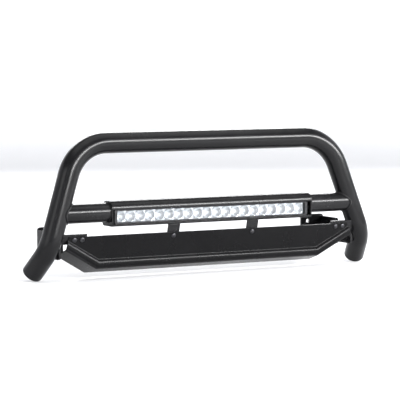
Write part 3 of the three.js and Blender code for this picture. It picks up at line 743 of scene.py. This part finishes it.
def add_gusset_beads(mesh):
    low, high = GUSSET["low"] + 4, GUSSET["high"] - 4
    for x in (GUSSET["inner"] - 0.6, GUSSET["inner"] + GUSSET["thickness"] + 0.6):
        line = []
        for i in range(25):
            z = low + (high - low) * i / 24
            line.append(reach_hoop(Vector((x, 110, z)), Vector((x, nearest_axis_y(z), z))))
        add_bead(mesh, line, WELD["gusset"])


def nearest_axis_y(z):
    """Y of the hoop's axis at a level below the cross member."""
    return min((abs(point.z - z), point.y) for point, _ in RIGHT_HALF)[1]


def add_tab_beads(mesh):
    front = PLATE["thickness"] + SEAM
    for depth in (front - OFF_EDGE, front + TAB["thickness"] + OFF_EDGE):
        line = []
        for i in range(13):
            rise = TAB["low"] + 2 + (TAB["high"] - TAB["low"] - 4) * i / 12
            line.append(reach_hoop(in_plate(470, depth, rise), in_plate(TAB["reach"], depth, rise)))
        add_bead(mesh, line, WELD["tab"])


def add_hanger_beads(mesh):
    """Along the front and back of each hanger, under the pocket."""
    lean = PLATE["lean"]
    front = PLATE["thickness"] + SEAM
    rise = (POCKET["bottom"] - PLATE["base_z"] - front * math.sin(lean)) / math.cos(lean)
    for depth in (front - OFF_EDGE, front + HANGER["thickness"] + OFF_EDGE):
        y = in_plate(0, depth, rise).y
        ends = (HANGER["x"] - HANGER["half"] + 3, HANGER["x"] + HANGER["half"] - 3)
        line = [Vector((x, y, POCKET["bottom"] - 2 * OFF_EDGE)) for x in ends]
        add_bead(mesh, line, WELD["hanger"])


# ---------------------------------------------------------------------------
# Pocket for the light bar
# ---------------------------------------------------------------------------


def pocket_profile():
    """The bent sheet in (y, z), from the upper lip over the top to the lower lip, with round edges."""

    def skin(inset):
        front, rear = POCKET["front"] + inset, POCKET["rear"] - inset
        top, bottom = POCKET["top"] - inset, POCKET["bottom"] + inset
        crown = POCKET["top_radius"] - inset
        heel, lip = POCKET["heel_radius"] - inset, POCKET["lip_radius"] - inset
        return [
            *arc((front + crown, top - crown), crown, 180, 90, 16),
            *arc((rear - crown, top - crown), crown, 90, 0, 16),
            *arc((rear - heel, bottom + heel), heel, 0, -90, 10),
            *arc((front + lip, bottom + lip), lip, -90, -180, 8),
        ]

    wall = POCKET["wall"]
    outer, inner = skin(0), skin(wall)
    middle_y = POCKET["front"] + wall / 2
    upper, lower = outer[0][1], outer[-1][1]
    lower_edge = arc((middle_y, lower), wall / 2, 180, 0, 6)[1:-1]
    upper_edge = arc((middle_y, upper), wall / 2, 0, -180, 6)[1:-1]
    return [*outer, *lower_edge, *reversed(inner), *upper_edge]


def slot_prism(mesh, ends, half, low, high, along):
    """A slot with round ends, between (u, v) centres of its ends, drawn out along an axis."""
    (u0, v0), (u1, v1) = ends
    heading = math.degrees(math.atan2(v1 - v0, u1 - u0))
    loop = arc((u1, v1), half, heading - 90, heading + 90, 14)
    loop += arc((u0, v0), half, heading + 90, heading + 270, 14)
    if along == "y":
        rows = [[(u, level, v) for u, v in loop] for level in (low, high)]
    else:
        rows = [[(u, v, level) for u, v in loop] for level in (low, high)]
    add_capped(mesh, rows)


def build_pocket():
    mesh = bmesh.new()
    profile = pocket_profile()
    add_capped(mesh, [[(x, y, z) for y, z in profile] for x in (-POCKET["half"], POCKET["half"])])
    piece = make_piece("bent_pocket", mesh, POWDER, stands_for=("light_pocket",))
    cutter = bmesh.new()
    through = (POCKET["rear"] - 6, POCKET["rear"] + 3)
    reach = (VENT["width"] - VENT["height"]) / 2
    for i in range(VENT["count"]):
        x = (i - (VENT["count"] - 1) / 2) * VENT["pitch"]
        ends = ((x - reach, VENT["level"]), (x + reach, VENT["level"]))
        slot_prism(cutter, ends, VENT["height"] / 2, *through, "y")
    for sign in SIDES.values():
        x = sign * SPANNER_SLOT["x"]
        half = SPANNER_SLOT["half"]
        ends = ((x, SPANNER_SLOT["front"] + half), (x, SPANNER_SLOT["back"] - half))
        slot_prism(cutter, ends, half, POCKET["bottom"] - 6, POCKET["bottom"] + 6, "z")
    cut(piece, cutter)
    bevelled(piece, 0.35, 50)
    for side in SIDES:
        refine("pocket_end_plate_" + side, POWDER, edge=0.6)


# ---------------------------------------------------------------------------
# Skid plate
# ---------------------------------------------------------------------------


def lower_line(outwards, depth):
    """The base line moved outwards in the plane of the face, with mitred corners and trimmed ends."""
    slope = math.atan2(PLATE["side_rise"], PLATE["side_half"] - PLATE["low_half"])
    corner = PLATE["low_half"] + outwards * math.tan(slope / 2)
    end = min(PLATE["lip_end"], PLATE["side_half"] + outwards * math.sin(slope))
    right = [(corner, -outwards), (end, (end - corner) * math.tan(slope) - outwards)]
    left = [(-x, rise) for x, rise in reversed(right)]
    return [in_plate(x, depth, rise) for x, rise in left + right]


def lower_profile(skin, jog_steps=8, nose_steps=28):
    """How far out and how deep one skin runs: round the jog, over the nose and back along the lip."""
    jog, turned = PLATE["jog_radius"] + skin, PLATE["jog_turn"]
    points = []
    for i in range(jog_steps + 1):
        heading = turned * i / jog_steps
        out = jog * math.sin(heading) - PLATE["face_end"]
        points.append((out, jog * math.cos(heading) - PLATE["jog_radius"]))
    reach = PLATE["jog_radius"] + PLATE["nose_radius"]
    middle_out = reach * math.sin(turned) - PLATE["face_end"]
    middle_depth = reach * math.cos(turned) - PLATE["jog_radius"]
    nose = PLATE["nose_radius"] - skin
    for i in range(1, nose_steps + 1):
        heading = turned - (turned + PLATE["lip_turn"]) * i / nose_steps
        points.append((middle_out - nose * math.sin(heading), middle_depth - nose * math.cos(heading)))
    out, depth = points[-1]
    lip = PLATE["lip"]
    points.append((out + lip * math.cos(PLATE["lip_turn"]), depth + lip * math.sin(PLATE["lip_turn"])))
    return points


def sheet_rows(skin):
    """Rows of one skin of the sheet, from its upper edge down to the edge of the lip."""
    low_half, corner = PLATE["low_half"], PLATE["corner"]
    rows = []
    for angle in range(90, -1, -15):
        turn = math.radians(angle)
        half = PLATE["top_half"] - corner * (1 - math.cos(turn))
        rise = PLATE["height"] - corner * (1 - math.sin(turn))
        rows.append([in_plate(x, skin, rise) for x in (-half, -low_half, low_half, half)])
    return rows + [lower_line(out, depth) for out, depth in lower_profile(skin)]


def build_skid_plate():
    mesh = bmesh.new()
    front, back = sheet_rows(0), sheet_rows(PLATE["thickness"])
    grid = add_grid(mesh, [*front, *reversed(back)], wrap_rows=True)
    half = len(front)
    for edge in (0, -1):
        for row in range(half - 1):
            inner = 2 * half - 1 - row
            mesh.faces.new((grid[row][edge], grid[row + 1][edge], grid[inner - 1][edge], grid[inner][edge]))
    plate = make_piece("folded_plate", mesh, PLATE_POWDER, stands_for=("skid_plate",), sharp=30)
    bevelled(plate, 0.5, 60)
    for side in SIDES:
        refine("skid_plate_tab_" + side, POWDER, edge=0.5)
        refine("skid_plate_hanger_" + side, POWDER, edge=0.5)


# ---------------------------------------------------------------------------
# Fasteners, each drawn along +Z from the face that it sits on
# ---------------------------------------------------------------------------


def add_hexagon(mesh, place, corner, low, high, bore=0.0, sides=72):
    """A hexagon whose upper corners are turned down by a cone, closed or with a bore."""
    flat = corner * math.cos(math.pi / 6)
    rim = flat * 0.96
    rings = [[], [], []]
    for a in turns(sides):
        radius = flat / math.cos((a % (math.pi / 3)) - math.pi / 6)
        drop = (radius - rim) / math.tan(math.radians(62))
        for ring, (r, z) in zip(rings, ((radius, low), (radius, high - drop), (rim, high))):
            ring.append(on_circle(place, r, a, z))
    if bore:
        rings += [[on_circle(place, bore, a, z) for a in turns(sides)] for z in (high, low)]
        add_grid(mesh, rings, wrap_rows=True, wrap_columns=True)
    else:
        add_capped(mesh, rings)


def add_thread(mesh, place, radius, low, high, pitch, sides=28):
    """A helical thread with a pointed end at high."""
    steps_per_turn = 6
    count = round((high - low) / pitch * steps_per_turn)
    rows = []
    for i in range(count + 1):
        z = low + (high - low) * i / count
        row = []
        for a in turns(sides):
            phase = (z / pitch - a / (2 * math.pi)) % 1
            r = radius - 0.54 * pitch * abs(2 * phase - 1)
            r = min(r, radius - max(0.0, 1.2 - (high - z)))
            row.append(on_circle(place, r, a, z))
        rows.append(row)
    add_capped(mesh, rows)


def add_flange(mesh, place, radius, thickness, inner):
    """The washer face of a flange bolt or nut."""
    edge = 0.35 * thickness
    profile = [(inner, 0), (radius - 0.3, 0), (radius, 0.3), (radius, edge)]
    profile += [(inner + 1, thickness), (inner, thickness)]
    profile.append(profile[0])
    add_lathe(mesh, profile, place)


def on_both_sides(name, build, finish, details=(), body=GUARD, axis=CROSS_AXIS):
    """Builds the right-hand piece and its mirror image, each in place of its CAD node."""
    for side, sign in SIDES.items():
        mesh = bmesh.new()
        build(mesh, *details)
        mesh.transform(Matrix.Diagonal((sign, 1, 1, 1)))
        node = name + "_" + side
        make_piece("made_" + node, mesh, finish, body, axis, stands_for=(node,), sharp=28)


def frame_bolt(mesh, y, z):
    """M12 flange bolt from the inner side of the bracket, out through the gusset."""
    web_inner = GUSSET["inner"] - SEAM - FRAME_WEB
    place = facing((web_inner - SEAM, y, z), (-1, 0, 0))
    add_flange(mesh, place, M12["flange"], M12["seat"], 5)
    add_hexagon(mesh, place, M12["corner"], 1.2, M12["head"])
    tail = facing((web_inner, y, z), (1, 0, 0))
    shank, reach = M12["shank"], GUSSET["inner"] + GUSSET["thickness"] - web_inner
    add_lathe(mesh, [(0, -SEAM), (shank, -SEAM), (shank, reach), (0, reach)], tail)
    add_thread(mesh, tail, shank, reach, reach + M12["tail"], M12["pitch"])


def frame_nut(mesh, y, z):
    place = facing((GUSSET["inner"] + GUSSET["thickness"] + SEAM, y, z), (1, 0, 0))
    add_flange(mesh, place, M12["flange"], M12["seat"], NUT_BORE["M12"])
    add_hexagon(mesh, place, M12["corner"], 1.2, M12["nut"], bore=NUT_BORE["M12"])


def plate_direction():
    return (in_plate(0, 1, 0) - in_plate(0, 0, 0)).normalized()


def plate_bolt(mesh, x, rise, held):
    """M8 carriage bolt: a low dome in front, a threaded end behind."""
    place = facing(in_plate(x, -SEAM, rise), -plate_direction())
    radius = M8["dome"]
    angles = [math.radians(angle) for angle in range(10, 91, 8)]
    dome = [(0, 3.9), *((radius * math.sin(a), 0.7 + 3.2 * math.cos(a)) for a in angles)]
    add_lathe(mesh, [*dome, (radius, 0.3), (radius - 0.3, 0), (0, 0)], place)
    tail = facing(in_plate(x, 0, rise), plate_direction())
    shank, start = M8["shank"], PLATE["thickness"] + held
    add_lathe(mesh, [(0, -SEAM), (shank, -SEAM), (shank, start), (0, start)], tail)
    add_thread(mesh, tail, shank, start, start + M8["tail"], M8["pitch"])


def plate_nut(mesh, x, rise, held):
    place = facing(in_plate(x, PLATE["thickness"] + held + 2 * SEAM, rise), plate_direction())
    add_flange(mesh, place, M8["flange"], M8["seat"], NUT_BORE["M8"])
    add_hexagon(mesh, place, M8["corner"], 0.8, M8["nut"], bore=NUT_BORE["M8"])


def bracket_screw(mesh, rise):
    """Hex screw from behind the pocket into the foot of the light bracket."""
    place = facing((BRACKET_SCREW_X, POCKET["rear"] + SEAM, PIVOT_OFFSET.z + rise), (0, 1, 0))
    add_flange(mesh, place, M6["flange"], M6["seat"], 3)
    add_hexagon(mesh, place, M6["corner"], 0.5, M6["head"])
    tip = facing((BRACKET_SCREW_X, POCKET["rear"], PIVOT_OFFSET.z + rise), (0, -1, 0))
    shank, wall = M6["shank"], POCKET["wall"]
    add_lathe(mesh, [(0, -SEAM), (shank, -SEAM), (shank, wall), (0, wall)], tip)
    add_thread(mesh, tip, shank, wall, M6["tip"], M6["pitch"])


def pivot_washer(mesh):
    radius, bore, height = PIVOT["washer"], PIVOT["bore"], PIVOT["washer_height"]
    edge = 0.2
    profile = [(bore, 0), (radius - edge, 0), (radius, edge), (radius, height - edge)]
    profile += [(radius - edge, height), (bore, height), (bore, 0)]
    add_lathe(mesh, profile, facing((PIVOT_SEAT, 0, 0), (1, 0, 0)))


def pivot_bolt(mesh):
    seat = PIVOT_SEAT + PIVOT["washer_height"] + SEAM
    add_hexagon(mesh, facing((seat, 0, 0), (1, 0, 0)), PIVOT["corner"], 0, PIVOT["head"])
    radius, reach, tip = PIVOT["shank"], PIVOT["reach"], PIVOT["reach"] + 0.2
    profile = [(0, -0.2), (radius, -0.2), (radius, reach), (radius - 0.4, tip), (0, tip)]
    add_lathe(mesh, profile, facing((seat, 0, 0), (-1, 0, 0)))


def build_fasteners():
    for place, spot in FRAME_BOLTS.items():
        on_both_sides("frame_bolt_" + place, frame_bolt, BRIGHT_ZINC, spot)
        on_both_sides("frame_nut_" + place, frame_nut, BRIGHT_ZINC, spot)
    for place, spot in PLATE_BOLTS.items():
        on_both_sides("skid_plate_bolt_" + place, plate_bolt, BLACK_ZINC, spot)
        on_both_sides("skid_plate_nut_" + place, plate_nut, BRIGHT_ZINC, spot)
    for place, rise in (("upper", BRACKET_SCREW_RISE), ("lower", -BRACKET_SCREW_RISE)):
        name = "light_bracket_screw_" + place
        on_both_sides(name, bracket_screw, BLACK_ZINC, (rise,))
    for name, build in (("light_pivot_washer", pivot_washer), ("light_pivot_bolt", pivot_bolt)):
        on_both_sides(name, build, BRIGHT_ZINC, (), LIGHT, PIVOT_AXIS)


# ---------------------------------------------------------------------------
# Brackets
# ---------------------------------------------------------------------------


def build_brackets():
    for side in SIDES:
        refine("leg_gusset_" + side, POWDER, edge=0.8)
        refine("frame_bracket_" + side, POWDER, edge=0.8)
        refine("light_bracket_" + side, POWDER, edge=0.4)


# ---------------------------------------------------------------------------
# Light bar
# ---------------------------------------------------------------------------


def led_places():
    return [(i - (LED_COUNT - 1) / 2) * LED_PITCH for i in range(LED_COUNT)]


def cup_profile():
    """(radius, depth) of a reflector cup: a rolled rim, then a parabola down to the throat."""
    mouth, throat, front, back = CUP["mouth"], CUP["throat"], CUP["front"], CUP["back"]
    points = [(mouth + CUP["rim"], front), (mouth, front + CUP["rim"] * 0.5)]
    depth = back - front - CUP["rim"] * 0.5
    for i in range(1, CUP["steps"] + 1):
        share = i / CUP["steps"]
        radius = math.sqrt(mouth**2 + (throat**2 - mouth**2) * share)
        points.append((radius, front + CUP["rim"] * 0.5 + depth * share))
    return points


def on_rectangle(angle, half_x, half_z):
    """Where a ray from the middle leaves a rectangle."""
    x, z = math.cos(angle), math.sin(angle)
    scale = min(half_x / max(abs(x), 1e-9), half_z / max(abs(z), 1e-9))
    return x * scale, z * scale


def cup_angles():
    """Even angles round a cup, with the corners of its cell among them."""
    corner = math.atan2(OPTIC_RISE, LED_PITCH / 2)
    angles = []
    for start, end, steps in ((-corner, corner, 12), (corner, math.pi - corner, 12)):
        for i in range(steps):
            angles.append(start + (end - start) * i / steps)
    return angles + [a + math.pi for a in angles]


def build_reflector():
    mesh = bmesh.new()
    angles = cup_angles()
    profile = cup_profile()
    front, back = CUP["front"], CUP["back"]
    border = [on_rectangle(a, LED_PITCH / 2, OPTIC_RISE) for a in angles]
    for centre in led_places():
        rows = [[(centre + x, front, z) for x, z in border]]
        for radius, depth in profile:
            rows.append([(centre + radius * math.cos(a), depth, radius * math.sin(a)) for a in angles])
        rows.append([(centre + x, back, z) for x, z in border])
        add_grid(mesh, rows, wrap_columns=True)
    for z in (-OPTIC_RISE, OPTIC_RISE):
        on_edge = [x for x, rise in border if abs(rise - z) < 1e-6]
        edge = sorted({round(centre + x, 4) for centre in led_places() for x in on_edge})
        add_grid(mesh, [[(x, depth, z) for x in edge] for depth in (front, back)])
    for x in (-OPTIC_HALF, OPTIC_HALF):
        edge = sorted({round(rise, 4) for side, rise in border if abs(side - LED_PITCH / 2) < 1e-6})
        add_grid(mesh, [[(x, depth, z) for z in edge] for depth in (front, back)])
    make_piece("cup_strip", mesh, MIRROR, LIGHT, PIVOT_AXIS, ("reflector_strip",), sharp=40)


def build_diodes():
    """A domed phosphor on each diode, seen at the bottom of its cup."""
    mesh = bmesh.new()
    radius, height, front = 2.3, 1.5, -3.1
    angles = [math.radians(angle) for angle in range(0, 90, 15)]
    for centre in led_places():
        place = facing((centre, front, 0), (0, -1, 0))
        dome = [(radius * math.cos(a), height * math.sin(a)) for a in angles]
        add_lathe(mesh, [(0, -0.2), (radius, -0.2), *dome, (0, height)], place, 24)
    make_piece("diode_domes", mesh, PHOSPHOR, LIGHT, PIVOT_AXIS)


def rounded_loop(half_x, half_z, corner, steps=6):
    return [
        *arc((half_x - corner, half_z - corner), corner, 0, 90, steps),
        *arc((corner - half_x, half_z - corner), corner, 90, 180, steps),
        *arc((corner - half_x, corner - half_z), corner, 180, 270, steps),
        *arc((half_x - corner, corner - half_z), corner, 270, 360, steps),
    ]


def build_lens():
    """A clear sheet with a softened edge."""
    mesh = bmesh.new()
    edge, front, back = LENS["edge"], LENS["front"], LENS["back"]
    rows = []
    for inset, depth in ((edge, front), (edge * 0.3, front + edge * 0.3), (0, front + edge), (0, back)):
        loop = rounded_loop(OPTIC_HALF + 1 - inset, OPTIC_RISE - inset, LENS["corner"] - inset)
        rows.append([(x, depth, z) for x, z in loop])
    add_capped(mesh, rows)
    make_piece("clear_sheet", mesh, CLEAR, LIGHT, PIVOT_AXIS, ("light_lens",))


def build_gland():
    """Cable gland: hexagonal body, ribbed dome nut and the mouth for a cable."""
    mesh = bmesh.new()
    place = facing((GLAND_X, WEB_BACK + SEAM, 0), (0, 1, 0))
    add_hexagon(mesh, place, 9, 0, 5)
    rows = []
    profile = [(7.3, 5), (7.3, 11.5), (6.9, 13.4), (5.6, 15.4), (4.4, 15.7), (3.3, 15.5), (3.2, 9)]
    for radius, z in profile:
        ribbed = radius > 6.8
        ring = []
        for a in turns(96):
            r = radius - (0.45 * max(0.0, math.cos(12 * a)) if ribbed else 0)
            ring.append(on_circle(place, r, a, z))
        rows.append(ring)
    add_capped(mesh, rows)
    make_piece("made_cable_gland", mesh, SEAL, LIGHT, PIVOT_AXIS, ("cable_gland",), sharp=30)


def build_breather():
    """Pressure vent: a ribbed cap with a shallow dome."""
    mesh = bmesh.new()
    place = facing((-GLAND_X, WEB_BACK + SEAM, 0), (0, 1, 0))
    profile = [(0, 0), (6.9, 0), (6.9, 1.6), (6.3, 1.9), (6.3, 2.4), (5.6, 5.2), (4.8, 5.8), (0, 6.1)]
    add_lathe(mesh, profile, place)
    make_piece("made_breather_vent", mesh, SEAL, LIGHT, PIVOT_AXIS, ("breather_vent",), sharp=30)


def build_end_screws():
    """Four pan head screws with a round socket in each end cap."""
    shank, head, height = END_SCREW["shank"], END_SCREW["head"], END_SCREW["height"]
    socket, floor = END_SCREW["socket"], END_SCREW["socket_floor"]
    profile = [(0, -END_SCREW["depth"]), (shank, -END_SCREW["depth"]), (shank, 0), (head, 0.05)]
    profile += [(head, 0.5), (head - 0.5, height - 0.2), (socket, height)]
    for side, sign in SIDES.items():
        mesh = bmesh.new()
        for y, z in END_SCREWS:
            place = facing((END_CAP_FACE, y, z), (1, 0, 0))
            add_lathe(mesh, profile, place, 24)
            add_lathe(mesh, [(socket, height), (socket - 0.1, floor), (0, floor)], place, 24)
        mesh.transform(Matrix.Diagonal((sign, 1, 1, 1)))
        make_piece("end_cap_screws_" + side, mesh, BLACK_ZINC, LIGHT, PIVOT_AXIS, sharp=28)


def build_light_bar():
    refine("light_housing", LIGHT_BLACK, LIGHT, edge=0.25)
    refine("light_bezel", LIGHT_BLACK, LIGHT, edge=0.5)
    refine("lens_gasket", SEAL, LIGHT, edge=0.2)
    refine("led_board", BOARD, LIGHT, edge=0.15)
    for side in SIDES:
        refine("light_end_cap_" + side, LIGHT_BLACK, LIGHT, edge=0.6)
    build_reflector()
    build_diodes()
    build_lens()
    build_gland()
    build_breather()
    build_end_screws()


# ---------------------------------------------------------------------------
# Studio
# ---------------------------------------------------------------------------

CAMERA_PLACE = Vector((-3.43, -6.18, 0.674))
CAMERA_LENS = 188
STAGE = {
    "flat": 9.0,
    "sweep": 5.0,
    "wall": 4.0,
    "clearance": 0.0006,
    "lit_from": 1.5,  # the floor's own glow starts this far out, and is full at lit_to
    "lit_to": 9.0,
    "glow": 0.42,
}
LAMPS = {
    # name: place, aim, size along and across, watts
    "overhead": ((0.0, -0.4, 3.4), (0, -0.1, 0), (4.5, 3.0), 55),
    "front_strip": ((2.3, -4.1, 1.75), (0, -0.1, 0.2), (6.0, 0.45), 620),
    "left_fill": ((-4.5, -1.6, 1.7), (0, -0.1, 0.1), (2.0, 2.6), 35),
    "rear_rim": ((1.5, 3.8, 2.4), (0, 0, 0.1), (4.0, 1.0), 150),
}


def from_middle(finish):
    """How far a point of the floor is from the middle of the stage, in metres."""
    parts = finish.parts(finish.place)
    return finish.length(parts["X"], parts["Y"])


def build_stage():
    """A pale round floor that sweeps up all round, and a softly lit world above it."""
    flat, sweep = STAGE["flat"], STAGE["sweep"]
    level = cad_low.z - STAGE["clearance"]
    profile = [(0, level), (2.0, level)]
    profile += [(flat + r, level + sweep + z) for r, z in arc((0, 0), sweep, -90, 0, 20)]
    profile.append((flat + sweep, level + sweep + STAGE["wall"]))
    mesh = bmesh.new()
    add_lathe(mesh, profile, Matrix.Identity(4), 96)
    data = bpy.data.meshes.new("studio_floor")
    mesh.to_mesh(data)
    mesh.free()
    data.shade_smooth()
    floor = bpy.data.objects.new("studio_floor", data)
    bpy.context.scene.collection.objects.link(floor)
    finish = Finish("studio_floor", specular_ior_level=0.2, emission_color=(0.97, 0.98, 1.0, 1))
    finish.set("Base Color", finish.mix(finish.noise(1.5, 3), (0.79, 0.79, 0.80), (0.82, 0.82, 0.83)))
    finish.set("Roughness", finish.span(finish.noise(3, 3), 0.3, 0.7, 0.55, 0.7))
    glow = finish.span(from_middle(finish), STAGE["lit_from"], STAGE["lit_to"], 0, STAGE["glow"])
    finish.set("Emission Strength", glow)
    data.materials.append(finish.material)
    world = bpy.data.worlds.new("studio")
    world.use_nodes = True
    world.node_tree.nodes["Background"].inputs["Color"].default_value = (0.93, 0.95, 1.0, 1)
    world.node_tree.nodes["Background"].inputs["Strength"].default_value = 0.36
    bpy.context.scene.world = world


def build_lamps():
    for name, (place, aim, (along, across), watts) in LAMPS.items():
        data = bpy.data.lights.new(name, "AREA")
        data.shape = "RECTANGLE"
        data.size, data.size_y = along, across
        data.energy = watts
        lamp = bpy.data.objects.new(name, data)
        bpy.context.scene.collection.objects.link(lamp)
        lamp.location = place
        lamp.rotation_euler = (Vector(aim) - Vector(place)).to_track_quat("-Z", "Y").to_euler()
        lamp.visible_camera = False


def build_camera():
    data = bpy.data.cameras.new("camera")
    data.lens = CAMERA_LENS
    camera = bpy.data.objects.new("camera", data)
    bpy.context.scene.collection.objects.link(camera)
    camera.location = CAMERA_PLACE
    aim = (cad_low + cad_high) / 2
    camera.rotation_euler = (aim - CAMERA_PLACE).to_track_quat("-Z", "Y").to_euler()
    bpy.context.scene.camera = camera


# ---------------------------------------------------------------------------
# Build
# ---------------------------------------------------------------------------

build_hoop()
build_cross_tubes()
build_welds()
build_pocket()
build_skid_plate()
build_brackets()
build_fasteners()
build_light_bar()
build_stage()
build_lamps()
build_camera()
bpy.context.scene.view_settings.view_transform = "Standard"
